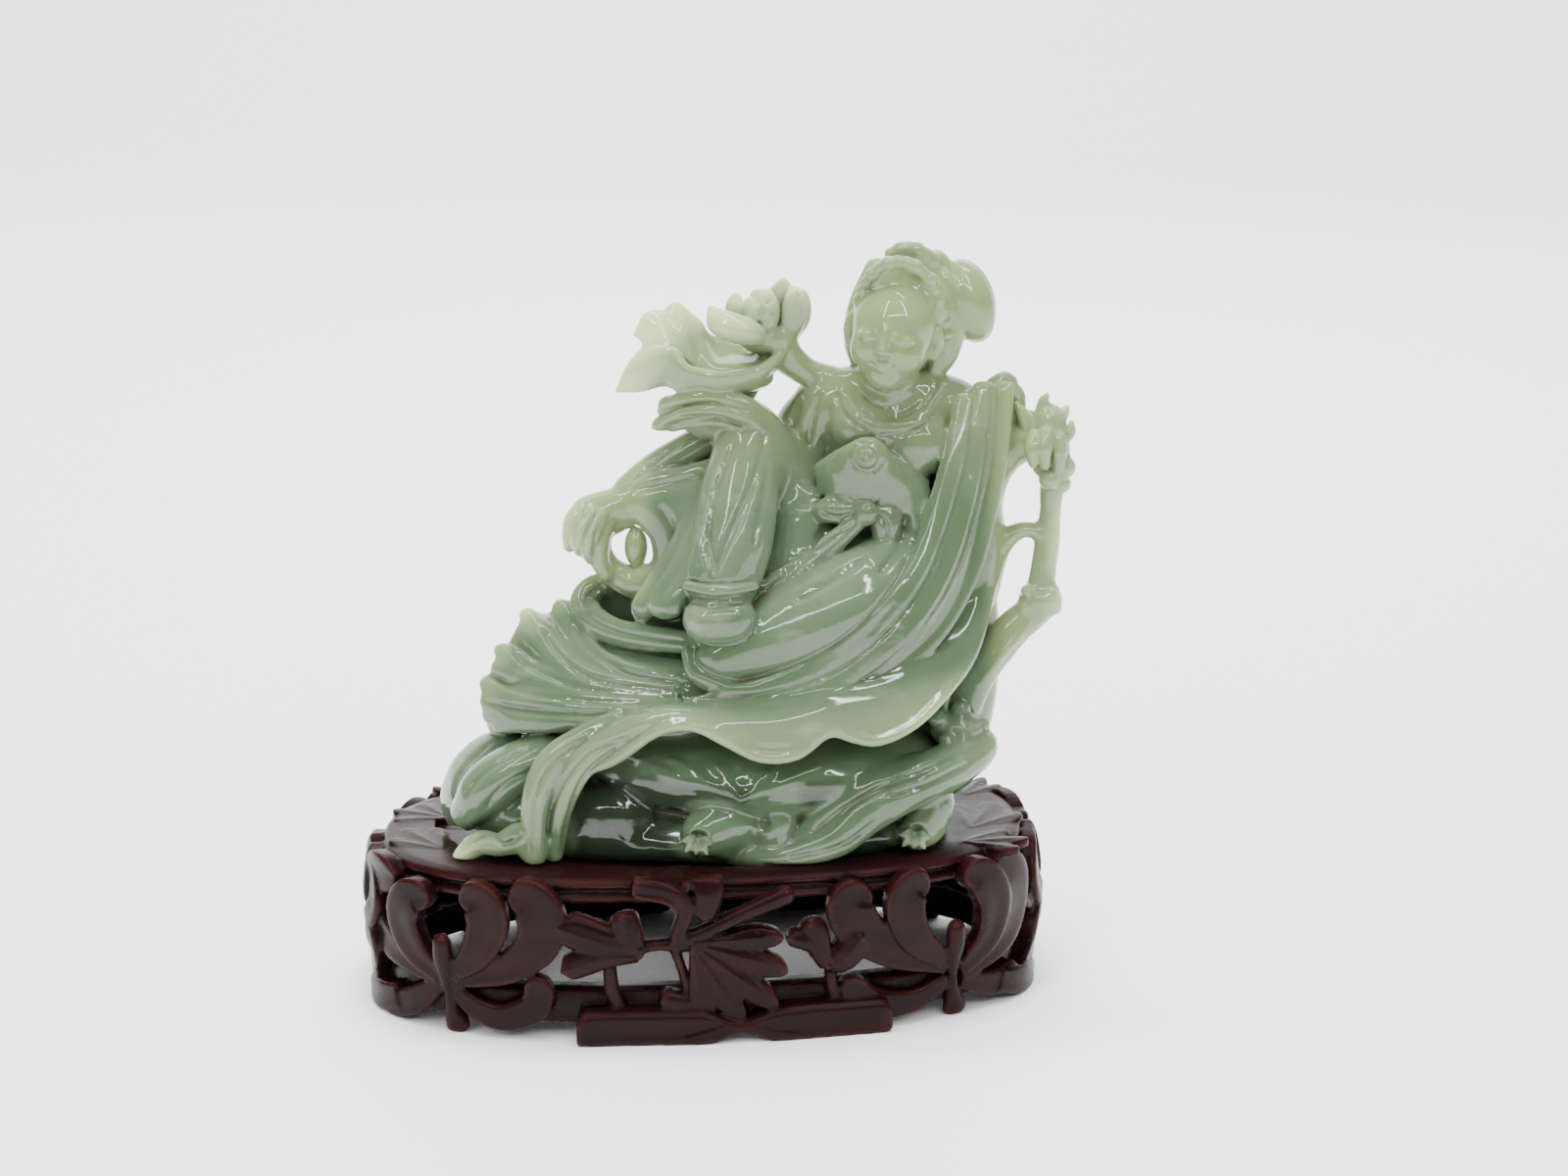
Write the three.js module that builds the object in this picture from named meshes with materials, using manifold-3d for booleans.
// A robed lady reclining on a lotus leaf, carved from one block of pale green jade, in the recess of a
// pierced hardwood stand. Millimetres, +Z up. The origin is the middle of the whole object's box, on the
// surface that the feet stand on, and the stand's long side runs along X with its front towards -Y.
import * as THREE from "three";
import { mergeVertices } from "three/addons/utils/BufferGeometryUtils.js";
import Module from "manifold-3d";

const wasm = await Module();
wasm.setup();

// Driving dimensions of the stand
const standLength = 168;
const standDepth = 88;
const standHeight = 42;
const standSquareness = 2.6; // 2 is an ellipse, more is squarer
const plateUnderside = 35;
const plateInset = 1;
const recessLength = 133;
const recessDepth = 68;
const recessDrop = 2; // how deep the recess is cut into the plate
const railTop = 12;
const railBottom = 4;
const railInset = 1.5;
const railThickness = 7;
const flowerShare = 0.15; // from the middle of the front to a flower, as a share of the whole edge
const cornerShare = 0.203; // the same, to a corner foot
const carverDrift = -4; // the flowers sit this far left of true, as hand carving leaves them

// Driving dimensions of the carving
const restingGap = 0.3; // between the jade and the floor of its recess
const plateLevel = 45; // the height of the plate's top, where the carving's own places are laid out
const figureTurn = THREE.MathUtils.degToRad(-6); // the carving's front against the stand's front
const viewTilt = THREE.MathUtils.degToRad(15);
const viewDistance = 780;
const viewAim = new THREE.Vector3(21, 0, 107.4);
const viewAimUp = 103.75;

// Places on the carving are laid out as it is seen from the front, a little from above: how far right, how
// far up, and how far back, in millimetres. The lines of sight meet at the eye, viewDistance away.
function at([right, up, back]) {
  const eye = new THREE.Vector3(0, -Math.cos(viewTilt), Math.sin(viewTilt)).multiplyScalar(viewDistance);
  eye.add(viewAim);
  const upward = new THREE.Vector3(0, Math.sin(viewTilt), Math.cos(viewTilt));
  const seen = viewAim.clone().addScaledVector(upward, up - viewAimUp);
  seen.x += right - viewAim.x;
  return eye.clone().lerp(seen, (back - eye.y) / (seen.y - eye.y));
}

// Half of a superellipse's plan, as points with their distance along the edge from the middle of the front
const edgeSteps = 720;
const edge = [];
for (let i = 0; i <= edgeSteps; i++) {
  const turn = (2 * Math.PI * i) / edgeSteps - Math.PI / 2;
  const power = 2 / standSquareness;
  const x = (standLength / 2) * Math.sign(Math.cos(turn)) * Math.abs(Math.cos(turn)) ** power;
  const y = (standDepth / 2) * Math.sign(Math.sin(turn)) * Math.abs(Math.sin(turn)) ** power;
  const last = edge[i - 1];
  edge.push({ x, y, along: last ? last.along + Math.hypot(x - last.x, y - last.y) : 0 });
}
const edgeLength = edge[edgeSteps].along;

// The place and the outward direction on the stand's edge, so far along it from the middle of the front
function onEdge(along) {
  const wanted = ((along % edgeLength) + edgeLength) % edgeLength;
  let i = 1;
  while (edge[i].along < wanted) i++;
  const share = (wanted - edge[i - 1].along) / (edge[i].along - edge[i - 1].along);
  const place = new THREE.Vector3().lerpVectors(edge[i - 1], edge[i], share).setZ(0);
  const before = edge[(i - 6 + edgeSteps) % edgeSteps];
  const after = edge[(i + 5) % edgeSteps];
  const outward = new THREE.Vector3(after.y - before.y, before.x - after.x, 0).normalize();
  return { place, outward };
}

// A place on the stand's side: along the edge, height, and how far outside the edge
function onSide([along, height, out = 0]) {
  const { place, outward } = onEdge(along);
  return place.addScaledVector(outward, out).setZ(height);
}

const backwards = () => new THREE.Vector3(0, 1, 0);

function geometry(points, faces) {
  const made = new THREE.BufferGeometry();
  made.setAttribute("position", new THREE.Float32BufferAttribute(points.flatMap((p) => p.toArray()), 3));
  made.setIndex(faces.flat());
  return made;
}

// A limb, fold or stem: round or flattened rings along a smooth line, cut flat at its ends. A radius is one
// number or [across, deep], and deep is measured along the direction that the limb faces. Four sides make
// a strap, and its radii are half its width and half its depth.
function limb(line, radii, { sides = 5, steps = 1, facing = backwards } = {}) {
  const curve = new THREE.CatmullRomCurve3(line, false, "catmullrom", 0.5);
  const spans = (line.length - 1) * steps;
  const pairs = radii.map((r) => (Array.isArray(r) ? r : [r, r]));
  const rings = [];
  const fullness = sides === 4 ? Math.SQRT2 : 1;
  const addRing = (centre, along, [across, deep]) => {
    const aside = new THREE.Vector3().crossVectors(along, facing(centre)).normalize();
    const inward = new THREE.Vector3().crossVectors(aside, along);
    const ring = [];
    for (let k = 0; k < sides; k++) {
      const angle = (2 * Math.PI * (k + 0.5)) / sides;
      const point = centre.clone().addScaledVector(aside, fullness * across * Math.cos(angle));
      ring.push(point.addScaledVector(inward, fullness * deep * Math.sin(angle)));
    }
    rings.push(ring);
  };
  for (let i = 0; i <= spans; i++) {
    const t = i / spans;
    const centre = curve.getPoint(t);
    const along = curve.getTangent(t);
    const scaled = t * (pairs.length - 1);
    const low = Math.min(Math.floor(scaled), pairs.length - 2);
    const size = [0, 1].map((k) => THREE.MathUtils.lerp(pairs[low][k], pairs[low + 1][k], scaled - low));
    addRing(centre, along, size);
  }
  const points = rings.flat();
  const faces = [];
  for (let i = 0; i + 1 < rings.length; i++) {
    for (let k = 0; k < sides; k++) {
      const a = i * sides + k;
      const b = i * sides + ((k + 1) % sides);
      faces.push([a, b + sides, b], [a, a + sides, b + sides]);
    }
  }
  const last = (rings.length - 1) * sides;
  for (let k = 1; k + 1 < sides; k++) {
    faces.push([0, k, k + 1], [last, last + k + 1, last + k]);
  }
  return geometry(points, faces);
}

const carvedLimb = (line, radii, options) => limb(line.map(at), radii, options);

// An egg shape, turned in the picture's plane
function egg(place, radii, { turn = 0, sides = 8, tiers = 6 } = {}) {
  const made = new THREE.SphereGeometry(1, sides, tiers).rotateX(Math.PI / 2).scale(...radii);
  const middle = at(place);
  return made.rotateY(THREE.MathUtils.degToRad(turn)).translate(middle.x, middle.y, middle.z);
}

// A leaf, lip or hem: a smooth sheet through rows of places, thick in the middle and thin at its rim.
// ripple gives how far a place stands out, from its share across the rows and its share along them.
function sheet(rows, { thickness = 4, rim = 2, across = 2, along = 2, ripple = () => 0 } = {}) {
  const spin = (line) => new THREE.CatmullRomCurve3(line, false, "catmullrom", 0.5);
  const rowCurves = rows.map((row) => spin(row.map(at)));
  const across1 = (rows.length - 1) * across;
  const along1 = (rows[0].length - 1) * along;
  const surface = (u, v) => spin(rowCurves.map((c) => c.getPoint(v))).getPoint(u);
  const front = [];
  const back = [];
  const nudge = 1e-3;
  for (let i = 0; i <= across1; i++) {
    for (let j = 0; j <= along1; j++) {
      const u = i / across1;
      const v = j / along1;
      const du = surface(Math.min(u + nudge, 1), v).sub(surface(Math.max(u - nudge, 0), v));
      const dv = surface(u, Math.min(v + nudge, 1)).sub(surface(u, Math.max(v - nudge, 0)));
      const out = du.cross(dv).normalize();
      const atRim = i === 0 || j === 0 || i === across1 || j === along1;
      const half = (atRim ? rim : thickness) / 2;
      const middle = surface(u, v).addScaledVector(out, ripple(u, v));
      front.push(middle.clone().addScaledVector(out, half));
      back.push(middle.addScaledVector(out, -half));
    }
  }
  const wide = along1 + 1;
  const id = (i, j) => i * wide + j;
  const faces = [];
  const shift = front.length;
  for (let i = 0; i < across1; i++) {
    for (let j = 0; j < along1; j++) {
      const [a, b, c, d] = [id(i, j), id(i + 1, j), id(i + 1, j + 1), id(i, j + 1)];
      faces.push([a, b, c], [a, c, d]);
      faces.push([a + shift, c + shift, b + shift], [a + shift, d + shift, c + shift]);
    }
  }
  const loop = [];
  for (let j = 0; j < along1; j++) loop.push(id(0, j));
  for (let i = 0; i < across1; i++) loop.push(id(i, along1));
  for (let j = along1; j > 0; j--) loop.push(id(across1, j));
  for (let i = across1; i > 0; i--) loop.push(id(i, 0));
  loop.forEach((p, k) => {
    const q = loop[(k + 1) % loop.length];
    faces.push([p, q, q + shift], [p, q + shift, p + shift]);
  });
  return geometry([...front, ...back], faces);
}

function solid(shape) {
  const bare = shape.clone();
  bare.deleteAttribute("normal");
  bare.deleteAttribute("uv");
  const merged = mergeVertices(bare, 1e-3);
  const vertProperties = new Float32Array(merged.attributes.position.array);
  const triVerts = new Uint32Array(merged.index.array);
  return new wasm.Manifold(new wasm.Mesh({ numProp: 3, vertProperties, triVerts }));
}

// One solid from many forms; a hollow sealed up between them is filled
function joined(shapes) {
  const whole = shapes.map(solid).reduce((sum, piece) => sum.add(piece));
  return wasm.Manifold.compose(whole.decompose().filter((piece) => piece.volume() > 0));
}

function shown(body, name, material) {
  const mesh = body.getMesh();
  const made = new THREE.BufferGeometry();
  made.setAttribute("position", new THREE.BufferAttribute(mesh.vertProperties, 3));
  made.setIndex(new THREE.BufferAttribute(mesh.triVerts, 1));
  made.computeVertexNormals();
  const shownMesh = new THREE.Mesh(made, material);
  shownMesh.name = name;
  return shownMesh;
}

// The trunk, neck, shoulders and the lap that the robe covers
function body() {
  return [
    carvedLimb([[40, 104, 6], [42, 121, 4], [46, 138, 3], [47.5, 150, 4]],
      [[18, 16], [12.5, 11], [14.5, 11], [9, 8]],
      { sides: 7 }),
    carvedLimb([[32, 149, 4], [47, 153.5, 4], [63, 148, 4]], [[6.5, 7], [7.5, 8], [7, 7]]),
    carvedLimb([[47, 152, 3], [46.5, 163, 1]], [6.5, 6]),
    carvedLimb([[44, 103, 8], [20, 90, 0], [-8, 80, -4], [-34, 77, -5]],
      [[20, 17], [17, 20], [12, 19], [9, 12]],
      { sides: 7 }),
    carvedLimb([[48, 149, 10], [53, 126, 16], [50, 98, 19], [26, 76, 20], [-10, 63, 17], [-40, 55, 8]],
      [[11, 5], [17, 10], [20, 14], [20, 14], [18, 13], [10, 8]], { sides: 8 }),
  ];
}

function head() {
  const tilt = 8;
  return [
    egg([48.8, 173.5, -2], [11.4, 12.5, 15], { turn: tilt, sides: 10, tiers: 7 }),
    egg([51.5, 181, 3], [11.8, 13, 9], { turn: tilt }),
    egg([68, 178, 5], [6.5, 8, 10.8], { turn: -18 }),
    carvedLimb([[45, 187, 0], [52, 190.3, 0], [60, 187, 2]], [2.2, 3, 2.2]),
    carvedLimb([[61, 174, 1], [63.5, 166, 1], [62, 160, 0]], [[3.4, 6], [3.4, 5], [2, 3]]),
    carvedLimb([[38.5, 173, 3], [37.5, 166, 3], [38, 161, 2]], [[2.6, 6], [2.4, 5], [1.6, 3]]),
  ];
}

// The arm on the left: down behind the raised knee, and out again in its hanging sleeve
function restingArm() {
  return [
    carvedLimb([[31, 149, 4], [26, 139, 7], [22, 131, 6], [10, 131, 4], [-4, 129, 1], [-14, 129, -2]],
      [[7.5, 8], [7, 7.5], [8.5, 8], [7, 7], [6.5, 6], [5.5, 5.5]]),
    sheet([
      [[-15, 131, -3], [-6, 133, -1], [3, 134, 0]],
      [[-14, 116, -3], [-5, 116, -4], [3, 118, -5]],
      [[-13, 99, -6], [-5, 99, -9], [4, 101, -11]],
    ], { thickness: 6, rim: 3, along: 1, across: 1 }),
    carvedLimb([[-13, 129, -3], [-23, 126.5, -5], [-31, 121, -7.5], [-34.5, 116, -8.5], [-33.5, 112.5, -8]],
      [[5, 5], [6.4, 5], [5, 5], [3, 3.4], [2.2, 2.4]]),
    carvedLimb([[-28, 119, -9], [-28.5, 112.5, -10], [-25, 107, -10.5]], [[4, 3.4], 3.4, 2.8]),
    carvedLimb([[-24, 114, -5], [-20, 106, -6], [-14, 101, -6]], [4, 4, 4.5]),
    egg([-15, 115, -1], [3.6, 3, 6.2], { sides: 6, tiers: 4 }),
  ];
}

// The leg drawn up in front, its boot, and the skirt that falls from it
function raisedLeg() {
  const front = () => new THREE.Vector3(0, 0.8, 0.6);
  return [
    carvedLimb([[11.5, 143, -6], [10, 130, -13], [7.5, 114, -20], [6, 103, -24]],
      [[7, 7], [10, 9], [11, 10], [9.5, 9]],
      { sides: 7, facing: front }),
    carvedLimb([[12, 142, -5], [24, 126, 2], [36, 112, 4]], [[8, 8], [11, 11], [13, 13]]),
    carvedLimb([[26, 122, -4], [24, 108, -10], [18, 98, -14]], [[9, 9], [10, 8], [9, 8]]),
    carvedLimb([[1, 101.5, -27.5], [11, 102, -27.5]], [[3, 5], [3, 5]]),
    egg([5.5, 97, -31], [8.6, 6.5, 6.6]),
    carvedLimb([[2, 128, -14], [-4, 112, -18], [-12, 97, -20]], [[4, 4], [5, 4], [4, 3.4]]),
    carvedLimb([[2, 118, -19], [-2, 106, -23], [-6.5, 97.5, -25]], [[4, 4], [4.6, 4], [3.4, 3]]),
    carvedLimb([[4, 148, -2], [-3, 134, -8], [-10, 112, -12], [-15, 98, -14]],
      [[2.4, 3], [3.4, 4], [4, 4], [2.6, 3]]),
  ];
}

// The other leg lies along the front under the robe
function lyingLeg() {
  return [
    carvedLimb([[54, 110, -3], [39, 100, -14], [20, 92, -21], [5, 86, -24]],
      [[12, 13], [12.5, 12], [10, 10], [6, 7]],
      { sides: 7 }),
    carvedLimb([[8, 82, -25], [22, 84, -26], [40, 88, -22], [52, 96, -14]], [3, 4.5, 4.5, 4]),
  ];
}

// The long scarf: three rolled folds from the shoulder, down and across to the left
function scarf() {
  const folds = 3;
  const rise = 1.6;
  const rolled = (u) => rise * Math.cos(2 * Math.PI * (folds - 1) * u);
  return [
    sheet([
      [[78.5, 156.5, 4], [73.5, 132, 0], [66.5, 106, -7], [53, 86, -19], [35, 77, -27], [24, 74, -29]],
      [[71.5, 155, 1], [67.5, 130, -5], [61, 104, -13], [48, 88, -21], [32, 79, -28], [18, 75.5, -30]],
      [[64, 150, -1], [60.5, 127, -8], [54, 103, -16], [43, 90, -23], [28, 81.5, -28], [12, 77.5, -30]],
    ], { thickness: 7, rim: 5, across: 2, along: 1, ripple: rolled }),
    carvedLimb([[81, 154, 6], [82.5, 148.5, 7], [79, 141, 6]], [[1.4, 2], [3, 2.2], [2.5, 3]]),
    carvedLimb([[64, 148, 6], [67, 130, 5], [66, 110, 3], [57, 90, 0]],
      [[8, 8], [9, 9], [11, 11], [12, 13]], { sides: 7 }),
  ];
}

// The hand on the right, with the knotted staff that it holds and the branch that the staff grows from
function staffHand() {
  return [
    carvedLimb([[71, 134, 7], [78, 140, 6], [87, 141, 4]], [[6.5, 5.5], [6, 5], [6, 5.5]]),
    carvedLimb([[72, 122, 6], [75.5, 133, 7], [82, 139, 6]], [[3.6, 4], 3.6, 4]),
    carvedLimb([[87.8, 152.5, 3], [88, 147.5, 3], [89, 140, 3], [91, 134, 3], [89, 127, 3], [88.2, 117, 2],
      [86.7, 106, 1], [86.3, 100.5, 1], [83, 96.5, 1], [77, 91, 0], [70, 81.5, -2], [64, 74, -4]],
    [1.2, 4.4, [5.8, 6], 4.6, 3, 3.3, 4, 5.8, 4.6, 4.8, 4.6, 6]),
    carvedLimb([[83.5, 143, 4], [80.3, 150.2, 4]], [3.2, 1]),
    carvedLimb([[86.5, 118, 2], [80, 117.8, 2], [74.5, 112.5, 2], [71, 103, 1]], [2.3, 2.3, 3.2, 4]),
  ];
}

// The lotus at the upper left: a cupped leaf, the open flower, and the stems that hold them
function lotus() {
  const petals = [
    [[[9, 165, -4], [5, 170.5, -5], [0.5, 176.5, -4]], [[4, 2.5], [6, 3], [1, 1]]],
    [[[11, 166, -1], [10, 173, -1], [9.2, 179.5, -1]], [[4, 3], [4, 3], [0.8, 1]]],
    [[[20, 163, 0], [23.5, 171, 2], [24.5, 178.5, 3], [21, 182.6, 2]],
      [[4, 3], [5.5, 3], [4, 2.4], [0.8, 1]]],
    [[[15, 164, -1], [16, 172, -2], [15, 177.5, -2]], [[5, 5], [6, 5], [4, 3.6]]],
  ];
  return [
    sheet([
      [[-22.5, 154, -9], [-13, 156.5, -11], [-4, 154, -10], [7, 152.5, -8], [17, 159, -6]],
      [[-17, 161, -2], [-9, 163.5, -2], [0, 160.5, -2], [9, 159, -2], [16, 162, -2]],
      [[-16, 169.5, 5], [-8.5, 174.5, 7], [-1, 171, 6], [7, 164, 4], [15, 163.5, 3]],
    ], { thickness: 4.2, rim: 2.2, along: 1, across: 2 }),
    ...petals.map(([line, sizes]) => carvedLimb(line, sizes)),
    carvedLimb([[-2, 158, -3], [3, 152, -4], [4, 147, -5]], [[7, 4], [6.5, 4.5], [7, 5]]),
    carvedLimb([[19, 165, 1], [26.5, 160.5, 3], [33, 156, 4]], [4, 3.2, 4]),
    carvedLimb([[14.5, 160, -3], [10, 146, -4]], [2.4, 2.4], { sides: 4 }),
    carvedLimb([[-12, 145, -4], [-4, 148, -5], [6, 148, -7], [16, 143.5, -6], [21, 134, -2]],
      [[2.6, 3], [4, 4], [4.5, 5],
      [5, 5], [4, 5]]),
    carvedLimb([[0, 143, 2], [-7, 139, 3], [-14, 134, 2], [-19, 129, 1]],
      [[6, 5], [6, 5], [5.4, 5], [5, 4]]),
  ];
}

// The leaf that the lady lies on: its curled rim at the left, its turned-out lip along the front
function leafBed() {
  return [
    sheet([
      [[-27, 68, -24], [-12, 72, -28], [4, 74.5, -30], [18, 76.5, -30], [33, 79, -27], [47, 84, -20], [58, 94, -11],
        [66, 106, -3], [70, 119, 4]],
      [[-31, 62, -30], [-14, 71, -34], [4, 70.5, -36], [18, 70, -37], [33, 75, -33], [49, 78.5, -27], [63, 88, -16],
        [70.5, 102, -6], [72.5, 119, 3]],
      [[-37, 55, -33], [-18, 65.5, -36], [2, 65, -38], [18, 60, -39], [31, 65.5, -36], [44, 64.5, -32], [61, 74.5, -22],
        [71.5, 93, -9], [73.5, 116, 2]],
    ], { thickness: 4.4, rim: 2.4, along: 1, across: 1 }),
    carvedLimb([[-25, 104, -2], [-31, 101, -4], [-32.3, 95, -8], [-27.5, 90, -13], [-16, 87, -18], [-4, 86, -22],
      [9, 86.5, -26]], [2.2, 2.8, 3, 3.2, 3.6, 3.6, 3.4]),
    egg([-19, 96, 4], [10, 4, 9]),
    egg([17, 63, -4], [48, 29, 14], { sides: 12, tiers: 6 }),
    carvedLimb([[60, 62, 2], [64, 82, 8], [66, 106, 10], [64, 128, 10]],
      [[12, 12], [12, 9], [9, 6], [6, 5]], { sides: 8 }),
  ];
}

// The hem of the robe: pleats that open like a fan, over the folds that fall to the base
function hem() {
  const pleats = 4;
  const pleatHeight = 2.3;
  const fan = (u, v) => pleatHeight * u * Math.cos(2 * Math.PI * pleats * v);
  return [
    sheet([
      [[2, 84, -23], [3, 80, -26], [3.5, 77, -27], [3, 74, -28], [1, 71, -28]],
      [[-19, 87, -13], [-21.5, 82, -19], [-23, 77, -22], [-23, 72.5, -25], [-21.5, 68, -27]],
      [[-29, 92.5, -6], [-35, 87, -12], [-39, 80, -17], [-40, 74, -21], [-39, 67.5, -23]],
      [[-33, 99.5, 0], [-45.5, 96, -6], [-53, 84, -12], [-55.5, 75, -15], [-51.5, 66.5, -17]],
    ], { thickness: 5, rim: 3, along: 3, across: 1, ripple: fan }),
    carvedLimb([[-4, 76, -8], [-24, 74, -6], [-42, 74, -5], [-50, 70, -8]],
      [[15, 16], [14, 13], [10, 9], [5, 6]]),
    carvedLimb([[-42, 60, -21], [-53, 54, -21], [-61, 46.5, -19]], [[8, 8], [8, 8], [6.5, 7]]),
    carvedLimb([[-54, 65, -12], [-61, 59, -10], [-64.5, 50, -9], [-62, 42, -9]],
      [[4, 5], [5, 6], [5, 6], [4, 5]]),
    carvedLimb([[-30, 68, -28], [-39, 59.5, -32], [-42, 47, -34], [-43.5, 36, -33]],
      [[4, 4], [4.5, 4], [4.5, 4], [5, 4]]),
    carvedLimb([[-24, 67, -31], [-32, 57, -33], [-35, 45, -32], [-35, 35, -31]],
      [[4, 4], [5, 4], [4.6, 4], [3.6, 4]]),
    carvedLimb([[-43, 40, -33], [-50, 41, -31], [-56.5, 39, -29], [-62, 34.5, -28]],
      [[5, 4], [4, 4], [3.6, 4], [2.4, 3]]),
    egg([-38, 50, -8], [24, 20, 12]),
  ];
}

// The ground that the leaf grows from: rock, roots and two drooping flowers
function ground() {
  return [
    egg([4, 47, 0], [60, 31, 12], { sides: 12, tiers: 5 }),
    egg([-24, 44, -14], [24, 15, 11]),
    carvedLimb([[-4, 37, -22], [14, 36, -27], [28, 38.5, -26], [42, 47, -24], [55, 56, -19], [66, 60.5, -13], [70.5, 66, -8]],
      [4.5, 5, 5.6, 6.4, 6.4, 6, 4.6]),
    carvedLimb([[13, 42, -25], [6, 43.5, -29], [1, 40.5, -32], [-1.5, 36, -33]],
      [[7.5, 6], [8, 6], [6, 5], [1.5, 1.5]]),
    carvedLimb([[54, 55, -19], [60, 50, -20], [57, 43, -21], [54, 36, -22]],
      [5.4, [5.6, 5.4], [6.5, 5], [2, 2]]),
    egg([18.5, 44, -27], [6.6, 6, 8], { turn: 12 }),
    egg([65, 68, -11], [7, 6, 5], { tiers: 5 }),
  ];
}

// What the robe shows in front: collar, bodice with its rosette, and the sash tied in a bow
function robeFront() {
  const rosette = carvedLimb([[42, 138, -8], [41.6, 137.6, -13]],
    [5.8, 5], { sides: 7, facing: () => new THREE.Vector3(0, 0, 1) });
  return [
    carvedLimb([[36, 156, 1], [41, 149, -7], [47, 146, -9], [54, 149, -7], [62, 156, 1]],
      [1.8, 1.8, 1.8, 1.8, 1.8]),
    egg([43.5, 133, -5], [12.5, 8, 6.5]),
    rosette,
    carvedLimb([[31, 127, -3], [42, 124.5, -9.5], [55, 128, -4]], [3, 3, 3]),
    carvedLimb([[41, 123, -11], [34.5, 125, -11], [30, 121, -11]], [[3, 3], [4, 3.2], [2.8, 2.6]]),
    carvedLimb([[42, 122, -11], [46, 118, -11.5], [44, 113.5, -11.5]], [[3, 3], [3.6, 3], [3, 2.6]]),
    carvedLimb([[41, 121, -11], [32, 114, -13], [22, 106.5, -17], [14, 102, -20]],
      [[3, 3], [4.4, 3], [4.4, 3], [4, 3]]),
  ];
}

// The oval recess in the stand's plate, as a plug, larger or smaller by a margin; laid out like the carving
function recessPlug(margin) {
  const tall = 20;
  const plug = new THREE.CylinderGeometry(1, 1, tall, 28).rotateX(Math.PI / 2);
  plug.scale(recessLength / 2 + margin, recessDepth / 2 + margin, 1);
  return solid(plug.translate(-3, -1, plateLevel - recessDrop + tall / 2));
}

function jadeCarving() {
  const carved = joined([...body(), ...head(), ...restingArm(), ...raisedLeg(), ...lyingLeg(), ...scarf(),
    ...staffHand(), ...lotus(), ...leafBed(), ...hem(), ...ground(), ...robeFront()]);
  const below = (height) => solid(new THREE.BoxGeometry(300, 300, 100).translate(0, 0, height - 50));
  const overPlate = below(plateLevel + restingGap).subtract(recessPlug(-restingGap));
  return carved.subtract(below(plateLevel - recessDrop + restingGap)).subtract(overPlate);
}

// A strap of the stand's side, given as places along it, heights and how far they stand out
const sideStrap = (line, radii) => {
  const inward = onEdge(line[Math.floor(line.length / 2)][0]).outward.negate();
  return limb(line.map(onSide), radii, { sides: 4, facing: () => inward });
};

// One open flower of the stand's side: hooked petals, a stem that ends in a pistil, and two scrolls below.
// The plainer flowers of the back have a single pair of petals.
function sideFlower(along, plainer) {
  const shapes = [sideStrap([[along, 0, 0], [along, 14, 0.5], [along, 26, 1.5]],
    [[3.6, 2.4], [1.6, 2], [1.8, 2.2]])];
  for (const hand of [-1, 1]) {
    const placed = (line) => line.map(([aside, height, out]) => [along + hand * aside, height, out]);
    shapes.push(
      sideStrap(placed([[2, 14, 0], [15, 18.5, 0.6], [23.6, 26, 0.8], [23.8, 34, 0.6], [15.4, 38.8, 0.2]]),
        [[2, 2], [3.2, 2.4], [3.8, 2.6], [3.6, 2.6], [2.8, 2.4]]),
      sideStrap(placed([[1.5, 12.5, 0], [9, 6.5, 0.4], [19, 6, 0.6], [24.6, 12, 0.8]]),
        [[1.8, 2], [2.4, 2.2], [3, 2.4], [3, 2.4]]),
    );
    if (plainer) continue;
    shapes.push(sideStrap(placed([[1.5, 15.5, 0.8], [9.4, 22, 1.8], [12, 31, 1.8], [5.6, 38.6, 1]]),
      [[2, 2], [3, 2.4], [3.4, 2.4], [2.6, 2.2]]));
  }
  return shapes;
}

// A leaf of the stand's side, with lobes that spread from its stalk
function sideLeaf(along, height, turn, length, lobes, { out = 1, thickness = 4, spread = 150 } = {}) {
  const outline = new THREE.Shape().moveTo(0, 0);
  const steps = lobes * 2;
  for (let i = 0; i <= steps; i++) {
    const share = i / steps;
    const angle = THREE.MathUtils.degToRad(turn + (share - 0.5) * spread);
    const lobe = Math.abs(Math.sin(Math.PI * lobes * share));
    const reach = length * (0.7 + 0.3 * lobe) * (1.05 - 0.5 * Math.abs(share - 0.5));
    outline.lineTo(reach * Math.cos(angle), reach * Math.sin(angle));
  }
  const made = new THREE.ExtrudeGeometry(outline, { depth: thickness, bevelEnabled: false });
  const places = made.attributes.position;
  for (let i = 0; i < places.count; i++) {
    const standOut = out + places.getZ(i) - thickness / 2;
    const put = onSide([along + places.getX(i), height + places.getY(i), standOut]);
    places.setXYZ(i, ...put);
  }
  return made;
}

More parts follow.
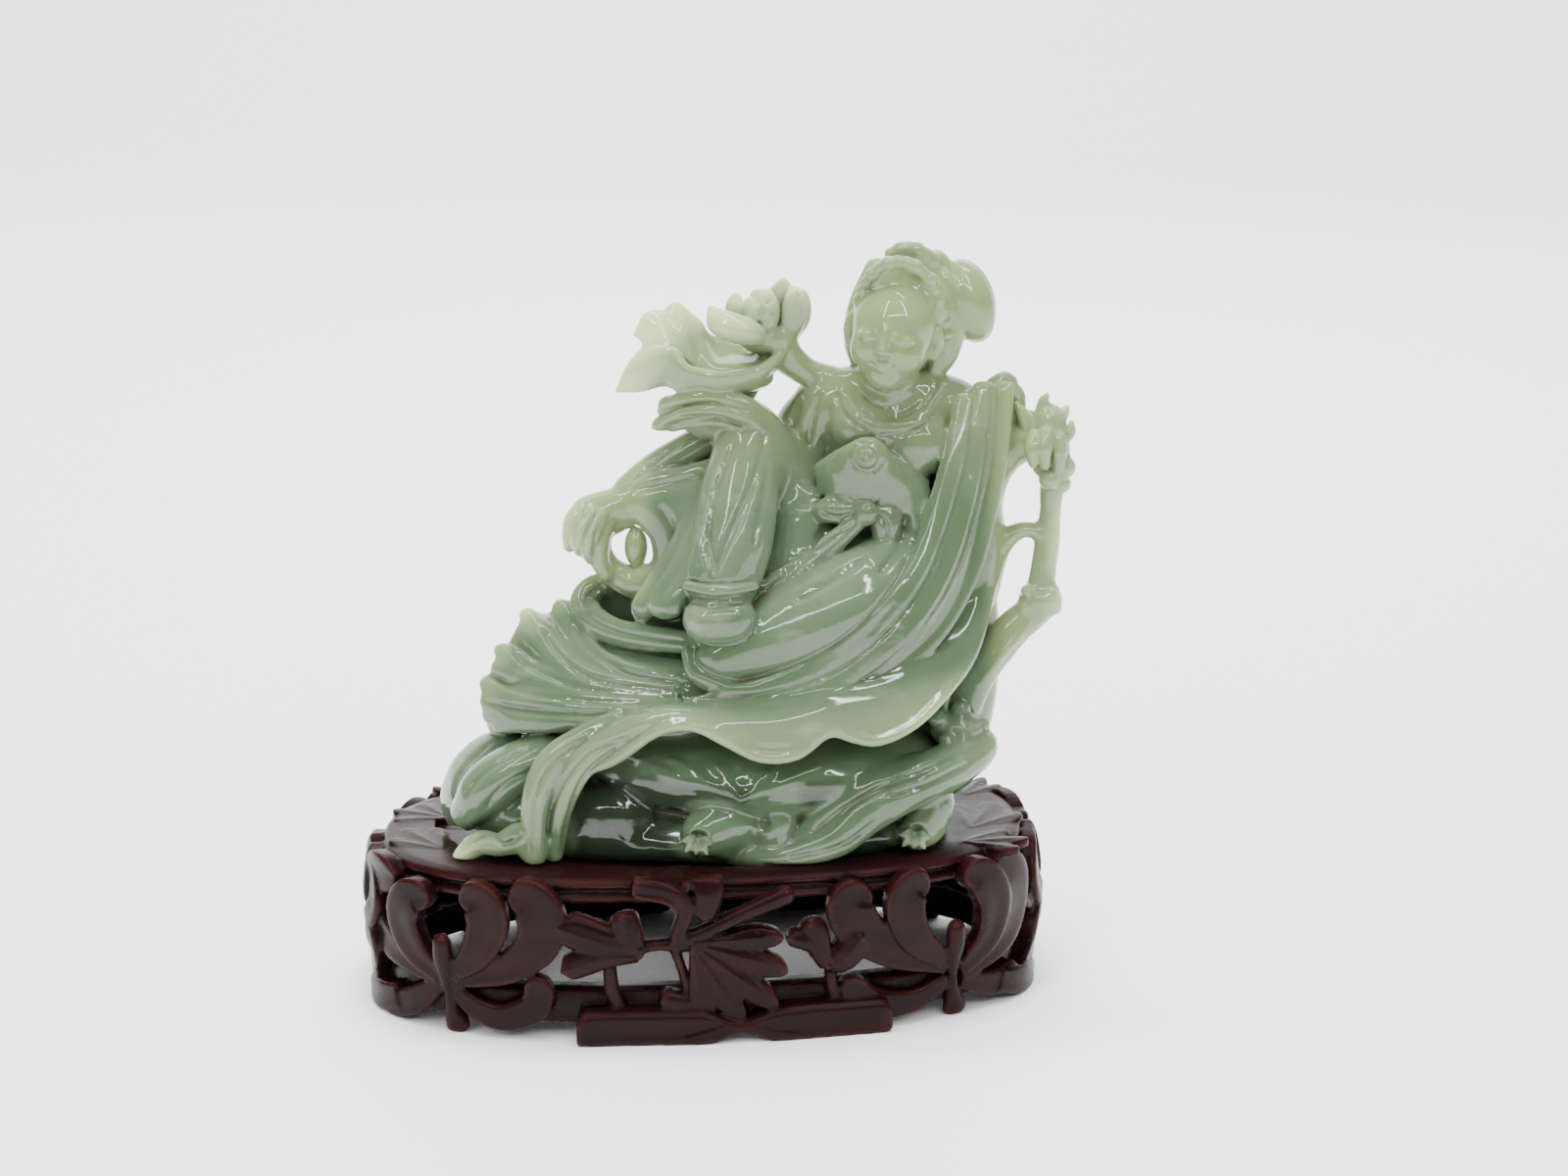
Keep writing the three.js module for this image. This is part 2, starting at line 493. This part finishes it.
// The vine between two flowers: a rolled leaf under the plate, a cut twig, a large leaf, and at each side
// three leaf fingers on a stalk
function sideVine(along) {
  const strap = (line, radii) =>
    sideStrap(line.map(([aside, height, out]) => [along + aside, height, out]), radii);
  return [
    strap([[-21, 39.6, 0], [-12, 39, 1], [-8, 34.5, 1.4], [-11, 25.5, 0.6]],
      [[2, 2.4], [2.2, 2.4], [2, 2.4], [1.8, 2.2]]),
    strap([[-3.6, 41, 0], [-3, 36, 1.4], [-5, 29, 1]], [[2.6, 2.2], [2.8, 2], [2, 2]]),
    strap([[-12, 25.6, 0.6], [16, 37.5, 2.4]], [[1.6, 2], [2.4, 2.2]]),
    strap([[-9, 25, 0.6], [-22, 25, 0.6]], [[1.8, 1.8], [2, 1.8]]),
    sideLeaf(along - 8, 26, -42, 27.5, 5, { spread: 104 }),
    strap([[-3, 9.5, 0.4], [-14.5, 10, 0.8]], [[3.4, 2.2], [3, 2.2]]),
    strap([[-20, 24, 0.6], [-24, 33.5, 1]], [[2.6, 2], [3.2, 2]]),
    strap([[-20, 25.5, 0.6], [-39, 29.5, 1]], [[2.6, 2], [4, 2]]),
    strap([[-21, 23.6, 0.6], [-38.5, 19, 1]], [[2.4, 2], [2.8, 2]]),
    strap([[-28, 21, 0], [-25, 8, -1]], [[1.8, 2], [2.2, 2]]),
    strap([[29, 21, 0.6], [17, 26, 1]], [[2.4, 2], [1.8, 2]]),
    strap([[27, 19, 0.6], [22.6, 30, 1]], [[2.6, 2], [2.9, 2]]),
    strap([[27, 19, 0.6], [35, 26, 1]], [[3, 2], [4, 2]]),
    strap([[28, 20, 0], [29.5, 8, -1]], [[1.6, 2], [2, 2]]),
  ];
}

// A hanging leaf, from the plate to the rail
const hangingLeaf = (along) => sideLeaf(along, 40, -90, 31, 3, { spread: 70, thickness: 5, out: 0.2 });

// The back is plainer: one hanging leaf between two stalks
function backVine(along) {
  const stalks = [-28, 28].map((aside) => sideStrap([[along + aside, 40, -1], [along + aside, 8, -1]],
    [2.4, 2.2]));
  return [hangingLeaf(along), ...stalks];
}

// A long foot shaped like two leaves, end to end, that stands under the rail and flares outwards
function longFoot(along, length) {
  const line = [[-0.5, 3.6, 1.6], [-0.3, 4, 2.4], [0, 3.4, 2.2], [0.3, 4, 2.4], [0.5, 3.6, 1.6]];
  const sizes = [[3.9, 3], [4.4, 3.2], [1.8, 2.8], [4.4, 3.2], [3.9, 3]];
  return sideStrap(line.map(([share, height, out]) => [along + share * length, height, out]), sizes);
}

// A scroll that comes down at a corner and ends as a foot
function cornerFoot(along, hand) {
  const line = [[16, 32, 0.4], [11, 17, 0.8], [1, 4.5, 1.6], [-6, 3, 1]];
  return sideStrap(line.map(([aside, height, out]) => [along + hand * aside, height, out]),
    [[2.4, 2.2], [3.4, 2.6], [4.8, 3], [3.2, 2.6]]);
}

// A ring or a slab that follows the stand's plan. Its section is a loop of [inset, height] places, and a
// slab's section starts and ends at the middle of the stand, where the inset is null.
function aroundPlan(section, count = 24) {
  const points = [];
  const faces = [];
  const open = section[0][0] === null;
  const loop = open ? section.slice(1, -1) : section;
  for (let i = 0; i < count; i++) {
    const along = (edgeLength * (i + 0.5)) / count;
    loop.forEach(([inset, height]) => points.push(onSide([along, height, -inset])));
  }
  const tall = loop.length;
  const id = (i, k) => (i % count) * tall + (k % tall);
  for (let i = 0; i < count; i++) {
    for (let k = 0; k < (open ? tall - 1 : tall); k++) {
      faces.push([id(i, k), id(i + 1, k), id(i + 1, k + 1)], [id(i, k), id(i + 1, k + 1), id(i, k + 1)]);
    }
  }
  if (open) {
    const bottom = points.push(new THREE.Vector3(0, 0, section[0][1])) - 1;
    const top = points.push(new THREE.Vector3(0, 0, section.at(-1)[1])) - 1;
    for (let i = 0; i < count; i++) {
      faces.push([bottom, id(i + 1, 0), id(i, 0)], [top, id(i, tall - 1), id(i + 1, tall - 1)]);
    }
  }
  return geometry(points, faces);
}

function plate() {
  const slab = solid(aroundPlan([
    [null, plateUnderside], [plateInset + 4, plateUnderside], [plateInset + 0.5, plateUnderside + 2],
    [plateInset + 0.5, standHeight - 2], [plateInset + 5, standHeight], [null, standHeight],
  ]));
  const recess = recessPlug(0).translate([0, 0, standHeight - plateLevel]);
  return slab.subtract(recess.rotate([0, 0, THREE.MathUtils.radToDeg(figureTurn)]));
}

function woodStand() {
  const rail = aroundPlan([
    [railInset, railBottom], [railInset, railTop], [railInset + railThickness, railTop],
    [railInset + railThickness, railBottom],
  ]);
  const shapes = [rail];
  for (const front of [0, edgeLength / 2]) {
    shapes.push(longFoot(front + 4, 78), ...(front ? backVine(front) : sideVine(front)));
    for (const hand of [-1, 1]) {
      const centre = front + carverDrift;
      shapes.push(...sideFlower(centre + hand * flowerShare * edgeLength, front > 0));
      shapes.push(cornerFoot(centre + hand * cornerShare * edgeLength, hand));
    }
  }
  for (const end of [0.25, 0.75]) shapes.push(hangingLeaf(end * edgeLength));
  const under = new THREE.BoxGeometry(300, 300, 100).translate(0, 0, -50);
  const over = new THREE.BoxGeometry(300, 300, 100).translate(0, 0, standHeight + 50);
  return plate().add(joined(shapes)).subtract(solid(under)).subtract(solid(over));
}

const jade = new THREE.MeshStandardMaterial({ color: 0x8fa88a, roughness: 0.18, metalness: 0 });
const rosewood = new THREE.MeshStandardMaterial({ color: 0x3a1512, roughness: 0.38, metalness: 0 });

const figure = new THREE.Group();
figure.rotation.z = figureTurn;
figure.position.z = standHeight - plateLevel;
figure.add(shown(jadeCarving(), "jade_figure", jade));

const part = new THREE.Group();
part.add(figure, shown(woodStand(), "wood_stand", rosewood));

// The origin moves to the middle of the whole box
const box = new THREE.Box3().setFromObject(part, true);
part.position.set(-(box.min.x + box.max.x) / 2, -(box.min.y + box.max.y) / 2, 0);

export default part;
